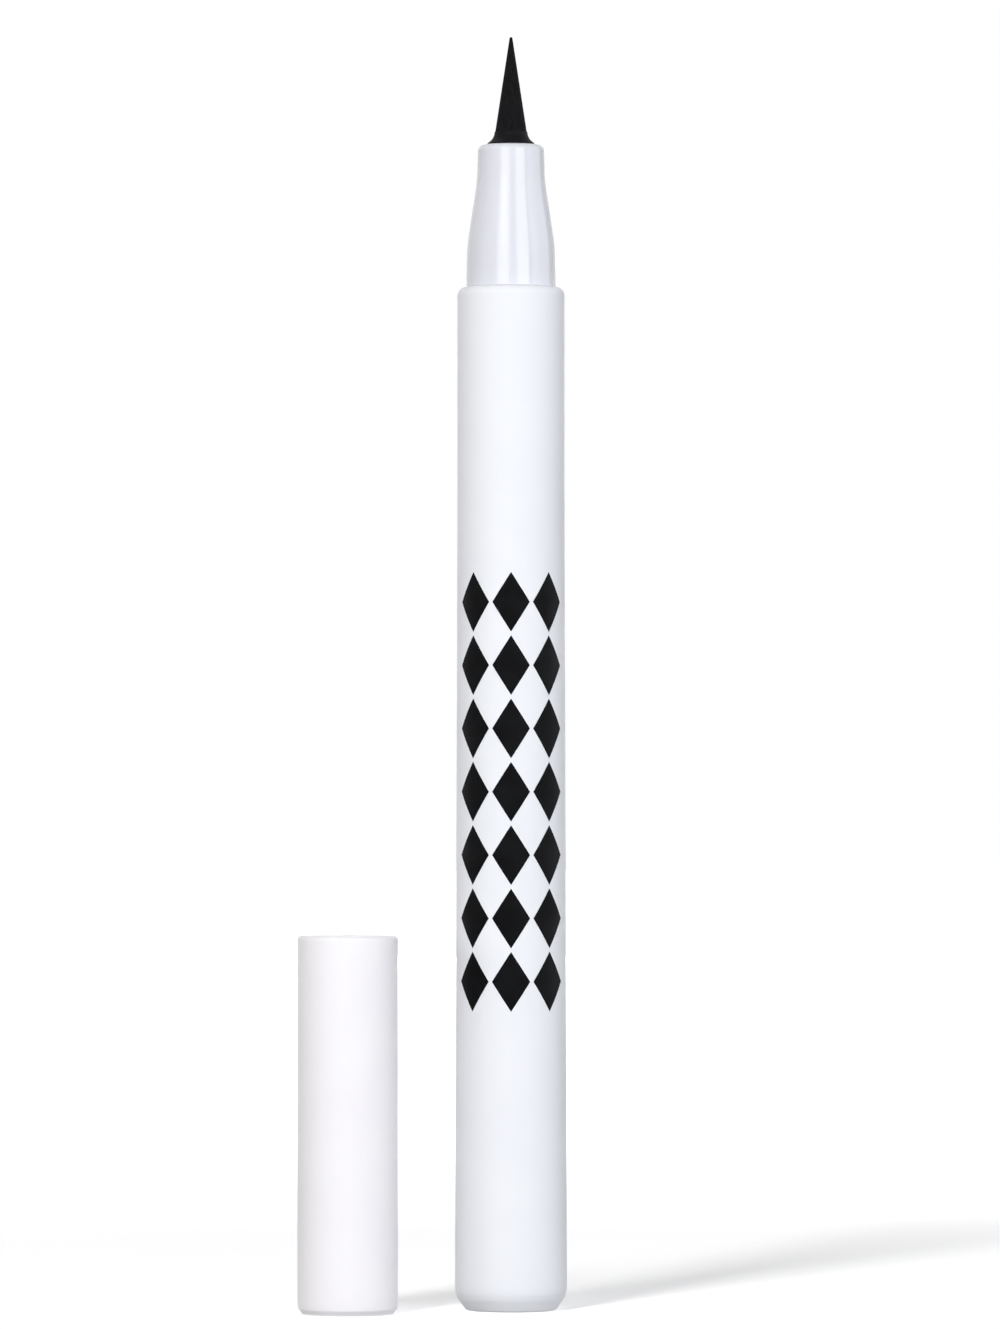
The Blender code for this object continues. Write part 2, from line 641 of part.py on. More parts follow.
def main():
    clear_scene()
    white = finish("matte_white", (0.93, 0.93, 0.95), 0.55)
    gloss_white = finish("gloss_white", (0.9, 0.91, 0.94), 0.15)
    natural = finish("natural_plastic", (0.82, 0.83, 0.84), 0.4)
    black_plastic = finish("black_plastic", (0.012, 0.012, 0.014), 0.35)
    black_felt = finish("black_felt", (0.01, 0.01, 0.011), 0.9)
    grey_rubber = finish("grey_rubber", (0.25, 0.26, 0.28), 0.6)
    steel = finish("steel", (0.7, 0.7, 0.72), 0.2, 1.0)

    pen = axis_empty("pen_axis", (0, 0, 0))
    placed("barrel", barrel(), white, pen)
    placed("tail_plug", tail_plug(), white, pen)
    placed("ink_tank", ink_tank(), natural, pen)
    placed("tank_plug", tank_plug(), natural, pen)
    tank_seal = seal_ring(TANK_SEAL_MIDDLE, TANK_SEAL_SECTION)
    placed("tank_seal", tank_seal, grey_rubber, pen, (0, 0, TANK_SEAL_Z))
    front_seal = seal_ring(FRONT_SEAL_MIDDLE, FRONT_SEAL_SECTION)
    placed("front_seal", front_seal, grey_rubber, pen, (0, 0, FRONT_SEAL_Z))
    placed("grip_section", grip_section(), gloss_white, pen)
    placed("tip_collar", tip_collar(), black_plastic, pen)
    placed("felt_nib", felt_nib(), black_felt, pen)
    nib_holder(pen, natural)
    collector(pen, natural)
    placed("partition", partition(), grey_rubber, pen)
    placed("feed_rod", feed_rod(), black_felt, pen)
    for number, side in ((1, -1), (2, 1)):
        mixing_ball(number, side, pen, steel)

    cap = axis_empty("cap_axis", (CAP_X, CAP_Y, 0))
    placed("cap_shell", cap_shell(), white, cap)
    placed("cap_spring", cap_spring(), steel, cap)
    inner_cap_axis = axis_empty("inner_cap_axis", (0, 0, INNER_MOUTH), cap)
    placed("inner_cap", inner_cap(), natural, inner_cap_axis)

    ball_travel = ROD_END_Z - SEAT_GAP - BALL_RADIUS - BALL_REST_Z
    inner_travel = CAP_CEILING - INNER_TOP - 2 * SPRING_POST_LENGTH - SEAT_GAP
    print(f"shoulder {SHOULDER_Z:.5f}, nib point {NIB_POINT_Z:.5f}, cap length {CAP_TOP:.5f} m")
    print(f"cap stands at ({CAP_X:.5f}, {CAP_Y:.5f}), cap radius {CAP_RADIUS:.5f} m")
    print(f"balls: radius {BALL_RADIUS:.5f}, travel {ball_travel:.5f} m")
    print(f"inner cap: mouth {INNER_MOUTH:.5f}, bore {INNER_BORE:.5f}, ceiling {INNER_CEILING:.5f} m")
    print(f"inner cap's travel {inner_travel:.5f}, cap's ceiling {CAP_CEILING:.5f}, bead {BEAD_RADIUS:.5f} m")


main()
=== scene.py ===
# %% [markdown]
# # A liquid eyeliner pen beside its cap
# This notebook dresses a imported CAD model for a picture. The CAD model already has every piece at its true
# size and place, so it is loaded first, as a fixed frame. Each new piece then sits where its CAD solid
# sits, and adds what a coarse solid leaves out: fine facets, soft edges, the print, the fibres of the nib.
#
# The visible box of the CAD model is kept, to prove at the end that the dressed model didn't grow.

# %% Load the frame
import math

import bmesh
import bpy
from mathutils import Matrix, Vector


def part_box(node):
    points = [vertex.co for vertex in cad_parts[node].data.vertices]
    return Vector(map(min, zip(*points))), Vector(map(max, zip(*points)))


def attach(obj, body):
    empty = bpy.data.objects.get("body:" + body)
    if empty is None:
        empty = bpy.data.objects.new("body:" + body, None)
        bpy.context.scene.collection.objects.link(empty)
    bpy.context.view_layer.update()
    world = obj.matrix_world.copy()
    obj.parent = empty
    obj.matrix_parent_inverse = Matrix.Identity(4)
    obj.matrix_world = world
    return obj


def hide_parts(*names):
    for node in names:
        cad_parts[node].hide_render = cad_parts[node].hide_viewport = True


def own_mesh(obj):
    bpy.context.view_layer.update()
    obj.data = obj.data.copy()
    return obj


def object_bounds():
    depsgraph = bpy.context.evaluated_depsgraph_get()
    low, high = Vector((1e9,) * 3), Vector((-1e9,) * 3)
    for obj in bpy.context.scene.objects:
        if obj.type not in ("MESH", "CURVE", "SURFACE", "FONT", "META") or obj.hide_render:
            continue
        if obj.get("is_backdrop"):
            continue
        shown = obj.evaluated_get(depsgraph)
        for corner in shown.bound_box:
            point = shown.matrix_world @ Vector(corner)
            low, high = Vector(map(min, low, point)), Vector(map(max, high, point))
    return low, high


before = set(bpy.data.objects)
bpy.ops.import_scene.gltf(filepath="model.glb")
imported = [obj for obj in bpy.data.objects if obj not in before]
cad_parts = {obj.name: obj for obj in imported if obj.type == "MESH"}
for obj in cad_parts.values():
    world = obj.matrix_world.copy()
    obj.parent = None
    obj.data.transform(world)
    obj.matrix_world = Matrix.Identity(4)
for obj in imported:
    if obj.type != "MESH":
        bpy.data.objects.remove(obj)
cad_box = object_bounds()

scene = bpy.context.scene
print("CAD box:", [tuple(round(value, 5) for value in corner) for corner in cad_box])

# %% [markdown]
# ## The camera
# The photo was taken with a long lens, almost level with the middle of the pen: the foot shows as a flat
# curve that bulges down, and the shoulder as one that bulges up. A short lens close by would bulge both
# much more, so the camera stands 0.8 m away and looks up by less than a degree.
#
# A pixel of the photo is 0.1 mm at the pen's distance. The sensor's 36 mm lie along the picture's long
# side, so the lens follows from the distance and the height of the view.

# %% Place the camera
PICTURE_HEIGHT = 1329
PIXEL_SIZE = 0.0001
CAMERA_PLACE = Vector((-0.0011, -0.8, 0.0555))
CAMERA_TARGET = Vector((-0.0011, 0, 0.06445))
SENSOR = 36.0

camera = bpy.data.objects.new("camera", bpy.data.cameras.new("camera"))
scene.collection.objects.link(camera)
scene.camera = camera
camera.data.sensor_width = SENSOR
camera.data.lens = SENSOR * -CAMERA_PLACE.y / (PICTURE_HEIGHT * PIXEL_SIZE)
camera.data.clip_start = 0.01
camera.location = CAMERA_PLACE
camera.rotation_euler = (CAMERA_TARGET - CAMERA_PLACE).to_track_quat("-Z", "Y").to_euler()
scene.view_settings.view_transform = "Standard"
print(f"lens: {camera.data.lens:.1f} mm")

# %% [markdown]
# ## The white background
# The picture has a pure white background, but a room that is white all round would also pour light on the
# pen and wash it out. The Light Path node tells the kinds of ray apart: rays that look at the background,
# straight or by way of a reflection, see white, and the rays that gather light for the pen see a dimmer
# world. It is brighter behind the pen, as in a studio, where the lit backdrop is, and dimmer overhead. A
# little more comes from below, in place of what the lit paper round the pen throws back at its foot.

# %% Make the world
AMBIENT_FRONT = 0.16
AMBIENT_BACK = 0.52
OVERHEAD_SHARE = 0.7
BELOW_SHARE = 1.35


def calculated(tree, operation, first, second):
    """The result of a Math node. Each of its two values is a socket or a plain number."""
    node = tree.nodes.new("ShaderNodeMath")
    node.operation = operation
    for value, socket in zip((first, second), node.inputs):
        if isinstance(value, bpy.types.NodeSocket):
            tree.links.new(value, socket)
        else:
            socket.default_value = value
    return node.outputs[0]


def seen_directly(tree):
    """A value that is 1 for rays that look at something, and 0 for those that only gather light."""
    path = tree.nodes.new("ShaderNodeLightPath")
    seen = path.outputs["Is Camera Ray"]
    for label in ("Is Glossy Ray", "Is Transmission Ray"):
        seen = calculated(tree, "MAXIMUM", seen, path.outputs[label])
    return seen


def ranged(tree, value, low, high, to_low, to_high, smooth=False):
    """Maps a value from one range to another."""
    node = tree.nodes.new("ShaderNodeMapRange")
    node.interpolation_type = "SMOOTHSTEP" if smooth else "LINEAR"
    for label, number in (("From Min", low), ("From Max", high), ("To Min", to_low), ("To Max", to_high)):
        node.inputs[label].default_value = number
    tree.links.new(value, node.inputs["Value"])
    return node.outputs["Result"]


world = bpy.data.worlds.new("white_room")
world.use_nodes = True
scene.world = world
background = world.node_tree.nodes["Background"]
background.inputs["Color"].default_value = (1, 1, 1, 1)
tree = world.node_tree
direction = tree.nodes.new("ShaderNodeSeparateXYZ")
tree.links.new(tree.nodes.new("ShaderNodeTexCoord").outputs["Generated"], direction.inputs[0])
level = ranged(tree, direction.outputs["Y"], -1, 1, AMBIENT_FRONT, AMBIENT_BACK)
overhead = ranged(tree, direction.outputs["Z"], 0, 1, 1, OVERHEAD_SHARE)
below = ranged(tree, direction.outputs["Z"], -1, 0, BELOW_SHARE, 1)
gathered = calculated(tree, "MULTIPLY", calculated(tree, "MULTIPLY", level, overhead), below)
strength = tree.nodes.new("ShaderNodeMix")
tree.links.new(seen_directly(tree), strength.inputs["Factor"])
tree.links.new(gathered, strength.inputs["A"])
strength.inputs["B"].default_value = 1
tree.links.new(strength.outputs["Result"], background.inputs["Strength"])
print("ambient light:", AMBIENT_FRONT, "to", AMBIENT_BACK)

# %% [markdown]
# ## The floor
# The pen and its cap stand on a white sweep of paper. It has to show their shadows and still run into the
# background with no horizon. So it is a plain diffuse floor, which looks whiter to rays that look at it
# than to rays that gather light: that lifts the lit paper to white, and the shadows stay grey. Far from
# the pen, where no shadow matters, the paper also glows, so that it has no far edge.
#
# Paper hides the foot of the pen and the mouth of the cap from a viewer below it. So it is clear from
# below, and for rays that meet it within a few millimetres of where they start: then light reaches the
# foot and the mouth too.

# %% Lay the floor
FLOOR_SIZE = 6.0
FLOOR_DROP = 0.00002
FLOOR_GATHERED = 0.43
FLOOR_SEEN = 1.64
GLOW_STARTS = 0.12
GLOW_FULL = 0.4
TOUCHING = 0.0075

bm = bmesh.new()
bmesh.ops.create_grid(bm, x_segments=1, y_segments=1, size=FLOOR_SIZE / 2)
bmesh.ops.translate(bm, verts=bm.verts[:], vec=(0, 0, -FLOOR_DROP))
floor_mesh = bpy.data.meshes.new("floor")
bm.to_mesh(floor_mesh)
bm.free()
floor = bpy.data.objects.new("floor", floor_mesh)
scene.collection.objects.link(floor)
floor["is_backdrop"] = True

paper = bpy.data.materials.new("white_paper")
paper.use_nodes = True
tree = paper.node_tree
tree.nodes.remove(tree.nodes["Principled BSDF"])
diffuse = tree.nodes.new("ShaderNodeBsdfDiffuse")
seen = seen_directly(tree)
tree.links.new(ranged(tree, seen, 0, 1, FLOOR_GATHERED, FLOOR_SEEN), diffuse.inputs["Color"])
distance = tree.nodes.new("ShaderNodeVectorMath")
distance.operation = "LENGTH"
tree.links.new(tree.nodes.new("ShaderNodeTexCoord").outputs["Object"], distance.inputs[0])
glow = ranged(tree, distance.outputs["Value"], GLOW_STARTS, GLOW_FULL, 0, 1, smooth=True)
emission = tree.nodes.new("ShaderNodeEmission")
tree.links.new(calculated(tree, "MULTIPLY", glow, seen), emission.inputs["Strength"])
both = tree.nodes.new("ShaderNodeAddShader")
tree.links.new(diffuse.outputs["BSDF"], both.inputs[0])
tree.links.new(emission.outputs["Emission"], both.inputs[1])
ray_length = tree.nodes.new("ShaderNodeLightPath").outputs["Ray Length"]
from_below = tree.nodes.new("ShaderNodeNewGeometry").outputs["Backfacing"]
clear = calculated(tree, "MAXIMUM", calculated(tree, "LESS_THAN", ray_length, TOUCHING), from_below)
sheet = tree.nodes.new("ShaderNodeMixShader")
tree.links.new(clear, sheet.inputs["Fac"])
tree.links.new(both.outputs["Shader"], sheet.inputs[1])
tree.links.new(tree.nodes.new("ShaderNodeBsdfTransparent").outputs["BSDF"], sheet.inputs[2])
tree.links.new(sheet.outputs["Shader"], tree.nodes["Material Output"].inputs["Surface"])
floor_mesh.materials.append(paper)
print("floor:", FLOOR_SIZE, "m square")

# %% [markdown]
# ## The lamps
# The shadows in the photo run back and to the right, so the main lamp stands in front and to the left. It
# is a narrow upright box, which leaves a shadow whose edge softens with distance. A wide one fills the
# right side. It hangs so low that the floor gets little of it, and so do the other two: a weak one on the
# left, which the cap keeps off the foot of the barrel, and one that lights the pen's back.
#
# The glossy nose of the pen mirrors two upright strips, with a darker line between them. Those are tall
# soft boxes, and a third one is mirrored in its right edge. They would wash out the shadows, so only
# reflections see them, while the four lamps aren't seen in reflections.
#
# A lamp's share is how much of full white it gives a white face that looks straight at it.

# %% Hang the lamps
LAMP_DISTANCE = 1.4
LIT_POINT = Vector((0, 0, 0.06))


def hang_lamp(name, azimuth, elevation, width, height, share, colour):
    """An area lamp that faces the pen. Azimuth and elevation are in degrees, seen from the pen, and left
    of the camera is below 0. Width and height are the angles that the lamp fills, seen from the pen."""
    turn, rise = math.radians(azimuth), math.radians(elevation)
    towards = Vector((math.sin(turn) * math.cos(rise), -math.cos(turn) * math.cos(rise), math.sin(rise)))
    data = bpy.data.lights.new(name, "AREA")
    data.shape = "RECTANGLE"
    data.size = 2 * LAMP_DISTANCE * math.tan(math.radians(width) / 2)
    data.size_y = 2 * LAMP_DISTANCE * math.tan(math.radians(height) / 2)
    data.energy = share * (math.pi * LAMP_DISTANCE) ** 2
    data.color = colour
    lamp = bpy.data.objects.new(name, data)
    scene.collection.objects.link(lamp)
    lamp.location = LIT_POINT + towards * LAMP_DISTANCE
    lamp.rotation_euler = (-towards).to_track_quat("-Z", "Y").to_euler()
    lamp.visible_camera = False
    print(f"{name}: {data.energy:.2f} W, {data.size:.2f} by {data.size_y:.2f} m")
    return lamp


WARM, COOL, PLAIN, VIOLET = (1, 0.995, 0.985), (0.965, 0.985, 1.04), (1, 1, 1), (1, 0.985, 1.08)
# Name, azimuth, elevation, width, height, share, colour
LAMPS = (
    ("main_lamp", -22, 31, 9, 38, 0.449, WARM),
    ("fill_lamp", 25, 6, 60, 14, 0.59, COOL),
    ("left_lamp", -78, 8, 30, 16, 0.13, PLAIN),
    ("back_lamp", 180, 7, 64, 14, 0.47, PLAIN),
)
MIRRORED_BOXES = (
    ("left_strip", -20.5, 17, 30, 34, 0.31, PLAIN),
    ("right_strip", 32, 17, 31, 34, 0.335, PLAIN),
    ("side_strip", 88, 17, 60, 34, 0.36, VIOLET),
)
for lamp in LAMPS:
    hang_lamp(*lamp).visible_glossy = False
for box in MIRRORED_BOXES:
    hang_lamp(*box).visible_diffuse = False

# %% [markdown]
# ## Grain and streaks
# No moulded plastic is perfectly even. Its mould leaves a fine grain, and handling leaves faint patches
# that are a little smoother. Pressed fibre and drawn wire have streaks along them instead. Both effects
# are needed in many finishes, so each is a node group, made once and placed in every material with its
# own numbers. They read Object coordinates, so they stay on the surface from any side.

# %% Make the two surface effects
PATCH_EDGES = (0.35, 0.65)
STREAK_EDGES = (0.3, 0.7)
PATCH_DETAIL = 3
GRAIN_DETAIL = 1
STREAK_DETAIL = 2


def effect_group(name, numbers):
    """A node group with number inputs, a mask output and a normal output."""
    group = bpy.data.node_groups.new(name, "ShaderNodeTree")
    for label, default in numbers.items():
        socket = group.interface.new_socket(label, in_out="INPUT", socket_type="NodeSocketFloat")
        socket.default_value = default
    group.interface.new_socket("Mask", in_out="OUTPUT", socket_type="NodeSocketFloat")
    group.interface.new_socket("Normal", in_out="OUTPUT", socket_type="NodeSocketVector")
    return group, group.nodes.new("NodeGroupInput"), group.nodes.new("NodeGroupOutput")


def noise(group, place, per_metre, detail):
    """Cloudy values from 0 to 1, that many to a metre."""
    node = group.nodes.new("ShaderNodeTexNoise")
    node.inputs["Detail"].default_value = detail
    group.links.new(place, node.inputs["Vector"])
    group.links.new(per_metre, node.inputs["Scale"])
    return node.outputs["Fac"]


def relief(group, height, depth):
    """The normal of a surface that rises and sinks with the height, by the depth in metres."""
    node = group.nodes.new("ShaderNodeBump")
    group.links.new(height, node.inputs["Height"])
    group.links.new(depth, node.inputs["Distance"])
    return node.outputs["Normal"]


def moulded_skin():
    """Faint patches for the mask, and a fine grain for the normal."""
    group, given, result = effect_group("moulded_skin", {
        "Patches per Metre": 90, "Grains per Metre": 6000, "Depth": 0.000002,
    })
    place = group.nodes.new("ShaderNodeTexCoord").outputs["Object"]
    patches = noise(group, place, given.outputs["Patches per Metre"], PATCH_DETAIL)
    grains = noise(group, place, given.outputs["Grains per Metre"], GRAIN_DETAIL)
    group.links.new(ranged(group, patches, *PATCH_EDGES, 0, 1), result.inputs["Mask"])
    group.links.new(relief(group, grains, given.outputs["Depth"]), result.inputs["Normal"])
    return group


def lengthwise_streaks():
    """Streaks for mask and normal: noise in a space whose height is shortened, which stretches it."""
    group, given, result = effect_group("lengthwise_streaks", {
        "Streaks per Metre": 4000, "Stretch": 20, "Depth": 0.000005,
    })
    place = group.nodes.new("ShaderNodeTexCoord").outputs["Object"]
    apart = group.nodes.new("ShaderNodeSeparateXYZ")
    group.links.new(place, apart.inputs[0])
    shorter = calculated(group, "DIVIDE", apart.outputs["Z"], given.outputs["Stretch"])
    joined = group.nodes.new("ShaderNodeCombineXYZ")
    group.links.new(apart.outputs["X"], joined.inputs["X"])
    group.links.new(apart.outputs["Y"], joined.inputs["Y"])
    group.links.new(shorter, joined.inputs["Z"])
    streaks = noise(group, joined.outputs[0], given.outputs["Streaks per Metre"], STREAK_DETAIL)
    group.links.new(ranged(group, streaks, *STREAK_EDGES, 0, 1), result.inputs["Mask"])
    group.links.new(relief(group, streaks, given.outputs["Depth"]), result.inputs["Normal"])
    return group


SKIN = moulded_skin()
STREAKS = lengthwise_streaks()
print("effects:", SKIN.name, "and", STREAKS.name)

# %% [markdown]
# ## The finishes
# Each finish is a Principled BSDF. The effect's mask moves its colour and its roughness between two close
# values, and the effect's normal gives it relief. What is the same all over the surface is written on the
# shader's own sockets.

# %% Mix the finishes
def finish(name, effect, numbers, colours, roughnesses, **plain):
    """A material between two colours and two roughnesses. The plain values go to the shader as they are."""
    material = bpy.data.materials.new(name)
    material.use_nodes = True
    tree = material.node_tree
    shader = tree.nodes["Principled BSDF"]
    surface = tree.nodes.new("ShaderNodeGroup")
    surface.node_tree = effect
    for label, number in numbers.items():
        surface.inputs[label].default_value = number
    ramp = tree.nodes.new("ShaderNodeValToRGB")
    for element, colour in zip(ramp.color_ramp.elements, colours):
        element.color = (*colour, 1)
    tree.links.new(surface.outputs["Mask"], ramp.inputs["Fac"])
    tree.links.new(ramp.outputs["Color"], shader.inputs["Base Color"])
    rough = ranged(tree, surface.outputs["Mask"], 0, 1, *roughnesses)
    tree.links.new(rough, shader.inputs["Roughness"])
    tree.links.new(surface.outputs["Normal"], shader.inputs["Normal"])
    for label, value in plain.items():
        shader.inputs[label.replace("_", " ")].default_value = value
    material.diffuse_color = (*colours[0], 1)
    return material


BARREL_WHITE = finish(
    "barrel_white", SKIN, {"Patches per Metre": 110, "Grains per Metre": 7000, "Depth": 0.000003},
    ((0.885, 0.897, 0.924), (0.866, 0.88, 0.911)), (0.58, 0.66), Specular_IOR_Level=0.2,
    Sheen_Weight=0.06, Sheen_Roughness=0.4,
)
CAP_WHITE = finish(
    "cap_white", SKIN, {"Patches per Metre": 120, "Grains per Metre": 7000, "Depth": 0.000003},
    ((0.936, 0.917, 0.936), (0.922, 0.901, 0.924)), (0.58, 0.66), Specular_IOR_Level=0.45,
    Sheen_Weight=0.32, Sheen_Roughness=0.4,
)
GLOSS_WHITE = finish(
    "nose_white", STREAKS, {"Streaks per Metre": 900, "Stretch": 12, "Depth": 0.000002},
    ((0.756, 0.762, 0.815), (0.738, 0.744, 0.8)), (0.11, 0.17), Specular_IOR_Level=0.5,
)
NATURAL = finish(
    "natural_moulding", SKIN, {"Patches per Metre": 300, "Grains per Metre": 4000, "Depth": 0.000002},
    ((0.84, 0.85, 0.86), (0.76, 0.77, 0.79)), (0.3, 0.42),
)
SATIN_BLACK = finish(
    "satin_black", SKIN, {"Patches per Metre": 700, "Grains per Metre": 12000, "Depth": 0.000001},
    ((0.0068, 0.0068, 0.0084), (0.0046, 0.0046, 0.0058)), (0.45, 0.6), Specular_IOR_Level=0.055,
)
BLACK_FELT = finish(
    "inked_felt", STREAKS, {"Streaks per Metre": 9000, "Stretch": 30, "Depth": 0.000012},
    ((0.0085, 0.0085, 0.0094), (0.0045, 0.0045, 0.005)), (0.75, 0.95), Specular_IOR_Level=0.07,
)
GREY_RUBBER = finish(
    "seal_rubber", SKIN, {"Patches per Metre": 900, "Grains per Metre": 9000, "Depth": 0.000004},
    ((0.27, 0.28, 0.3), (0.2, 0.21, 0.225)), (0.55, 0.7),
)
STEEL = finish(
    "polished_steel", STREAKS, {"Streaks per Metre": 5000, "Stretch": 3, "Depth": 0.000001},
    ((0.72, 0.72, 0.74), (0.63, 0.63, 0.65)), (0.14, 0.26), Metallic=1.0,
)
PRINT_INK = finish(
    "print_ink", SKIN, {"Patches per Metre": 400, "Grains per Metre": 15000, "Depth": 0.000001},
    ((0.0022, 0.0024, 0.003), (0.001, 0.0011, 0.0015)), (0.5, 0.62), Specular_IOR_Level=0.06,
)
print("finishes:", ", ".join(sorted(material.name for material in bpy.data.materials)))

# %% [markdown]
# ## How a round piece is made
# Nearly every piece of a pen is round. One could stack cylinders, but then each step and soft edge would
# need a join. It is simpler to draw half of the section, as a few corner points, and to spin it round the
# axis, which is what a lathe does.
#
# A corner may be soft: the bevel operator rounds the point of the outline before it is spun. Long straight
# stretches get a point close to each end, so that the smooth shading of a soft edge stays at the edge.

# %% Make the tools for round pieces
FACETS = 144
SHARP_ANGLE = math.radians(35)
ROUND_STEPS = 8
HOLD = 0.00006  # from the end of a long stretch to the point that holds its shading
LONG_EDGE = 0.0005
MERGE = 0.0000005


def soften(bm, points, corners):
    """Rounds the soft corners of an outline. A corner is (radius, height, how far its rounding reaches)."""
    for reach in sorted({corner[2] for corner in corners if corner[2]}):
        soft = [point for point, corner in zip(points, corners) if corner[2] == reach]
        bmesh.ops.bevel(
            bm, geom=soft, offset=reach, offset_type="OFFSET", affect="VERTICES",
            segments=ROUND_STEPS, profile=0.5, material=-1, clamp_overlap=False,
        )


def hold_ends(bm):
    """Adds a point near each end of every long edge of an outline."""
    for edge in [edge for edge in bm.edges if edge.calc_length() > LONG_EDGE]:
        first, last = edge.verts
        share = HOLD / edge.calc_length()
        rest, _ = bmesh.utils.edge_split(edge, first, share)
        longest = max((e for e in (edge, rest) if last in e.verts), key=lambda e: e.calc_length())
        bmesh.utils.edge_split(longest, last, share / (1 - share))


def turned(corners, centre=(0, 0), facets=FACETS):
    """Spins a half section round an upright axis. One that doesn't touch the axis closes into a ring."""
    bm = bmesh.new()
    points = [bm.verts.new((centre[0] + radius, centre[1], height)) for radius, height, _ in corners]
    pairs = list(zip(points, points[1:]))
    if corners[0][0] > 0 or corners[-1][0] > 0:
        pairs.append((points[-1], points[0]))
    for pair in pairs:
        bm.edges.new(pair)
    soften(bm, points, corners)
    hold_ends(bm)
    bmesh.ops.spin(
        bm, geom=bm.verts[:] + bm.edges[:], cent=(*centre, 0), axis=(0, 0, 1), dvec=(0, 0, 0),
        angle=math.tau, steps=facets, use_merge=True,
    )
    return bm


def piece(name, bm, material, body, slot, *nodes):
    """Makes a bmesh a smooth object that rides on a body and stands for its CAD nodes."""
    bmesh.ops.remove_doubles(bm, verts=bm.verts[:], dist=MERGE)
    bmesh.ops.recalc_face_normals(bm, faces=bm.faces[:])
    mesh = bpy.data.meshes.new(name)
    bm.to_mesh(mesh)
    bm.free()
    mesh.shade_smooth()
    mesh.set_sharp_from_angle(angle=SHARP_ANGLE)
    mesh.materials.append(material)
    obj = bpy.data.objects.new(name, mesh)
    scene.collection.objects.link(obj)
    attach(obj, body)
    if nodes:
        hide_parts(*nodes)
    print(f"{name}: {len(mesh.polygons)} faces, size {[round(side, 5) for side in obj.dimensions]} m")
    return obj


# %% [markdown]
# ## The barrel
# The barrel is the white tube that holds the ink tank. It is moulded round a steel core, so it widens a
# little towards its open tail, where the core was pulled out. Its front end is closed by a narrower mouth
# for the nose. The shoulder's round edge is what the light shows first, so it gets a true round. At the
# tail the wall bends in, to run on into the chamfer of the plug below it.

# %% Turn the barrel
BARREL_FRONT_RADIUS = 0.00536
BARREL_TAIL_RADIUS = 0.00561
BARREL_STRAIGHT = 0.0225
BARREL_BORE = 0.00476
SHOULDER_ROUND = 0.00088
MOUTH_RADIUS = 0.0041
MOUTH_DEPTH = 0.0032
TINY_ROUND = 0.00006
TAIL_BEND = 0.00205
TAIL_BEND_REACH = 0.0004
TAIL_EDGE_RADIUS = 0.0055
EDGE_ROUND = 0.00012
BEND_REACH = 0.004
SEAT_GAP = 0.00005
SEAM = 0.00001

barrel_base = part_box("barrel")[0].z - SEAT_GAP + SEAM
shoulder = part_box("barrel")[1].z
piece("barrel_tube", turned([
    (MOUTH_RADIUS, shoulder, TINY_ROUND),
    (BARREL_FRONT_RADIUS, shoulder, SHOULDER_ROUND),
    (BARREL_FRONT_RADIUS, shoulder - BARREL_STRAIGHT, BEND_REACH),
    (BARREL_TAIL_RADIUS, TAIL_BEND, TAIL_BEND_REACH),
    (TAIL_EDGE_RADIUS, barrel_base, 0),
    (BARREL_BORE, barrel_base, TINY_ROUND),
    (BARREL_BORE, shoulder - MOUTH_DEPTH, 0),
    (MOUTH_RADIUS, shoulder - MOUTH_DEPTH, 0),
]), BARREL_WHITE, "pen", "matte_white", "barrel")

# %% [markdown]
# ## The tail plug
# The plug is pressed into the tail, and its chamfered head is the foot that the pen stands on. The chamfer
# swells a little where it leaves the barrel, so that the light fades over it with no hard line, and its
# lower edge is soft. In the middle of the foot, where the plastic was let into the mould, a shallow round
# dimple is left.

# %% Turn the tail plug
PLUG_HEAD_HEIGHT = 0.0016
FOOT_SWELL_RADIUS = 0.00542
FOOT_SWELL_HEIGHT = 0.00128
FOOT_SWELL_REACH = 0.00029
FOOT_RADIUS = 0.00453
PLUG_SPIGOT_RADIUS = 0.00473
PLUG_WALL = 0.0011
FOOT_ROUND = 0.00025
DIMPLE_RADIUS = 0.0011
DIMPLE_DEPTH = 0.0002

plug_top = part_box("tail_plug")[1].z
piece("foot_plug", turned([
    (0, PLUG_WALL, 0),
    (PLUG_SPIGOT_RADIUS - PLUG_WALL, PLUG_WALL, EDGE_ROUND),
    (PLUG_SPIGOT_RADIUS - PLUG_WALL, plug_top, TINY_ROUND),
    (PLUG_SPIGOT_RADIUS, plug_top, EDGE_ROUND),
    (PLUG_SPIGOT_RADIUS, PLUG_HEAD_HEIGHT, 0),
    (TAIL_EDGE_RADIUS, PLUG_HEAD_HEIGHT, 0),
    (FOOT_SWELL_RADIUS, FOOT_SWELL_HEIGHT, FOOT_SWELL_REACH),
    (FOOT_RADIUS, 0, FOOT_ROUND),
    (DIMPLE_RADIUS, 0, TINY_ROUND),
    (DIMPLE_RADIUS - DIMPLE_DEPTH, DIMPLE_DEPTH, TINY_ROUND),
    (0, DIMPLE_DEPTH, 0),
]), BARREL_WHITE, "pen", "matte_white", "tail_plug")

# %% [markdown]
# ## The nose
# The nose is what the fingers hold: a straight band, a taper and a short neck, moulded in glossy plastic.
# Its corners are blended, not sharp, because a hard edge would show in the gloss as a broken highlight.
# The bevel of an outline point makes such a blend in one step. Below its base a spigot goes down through
# the barrel's mouth into the ink tank.

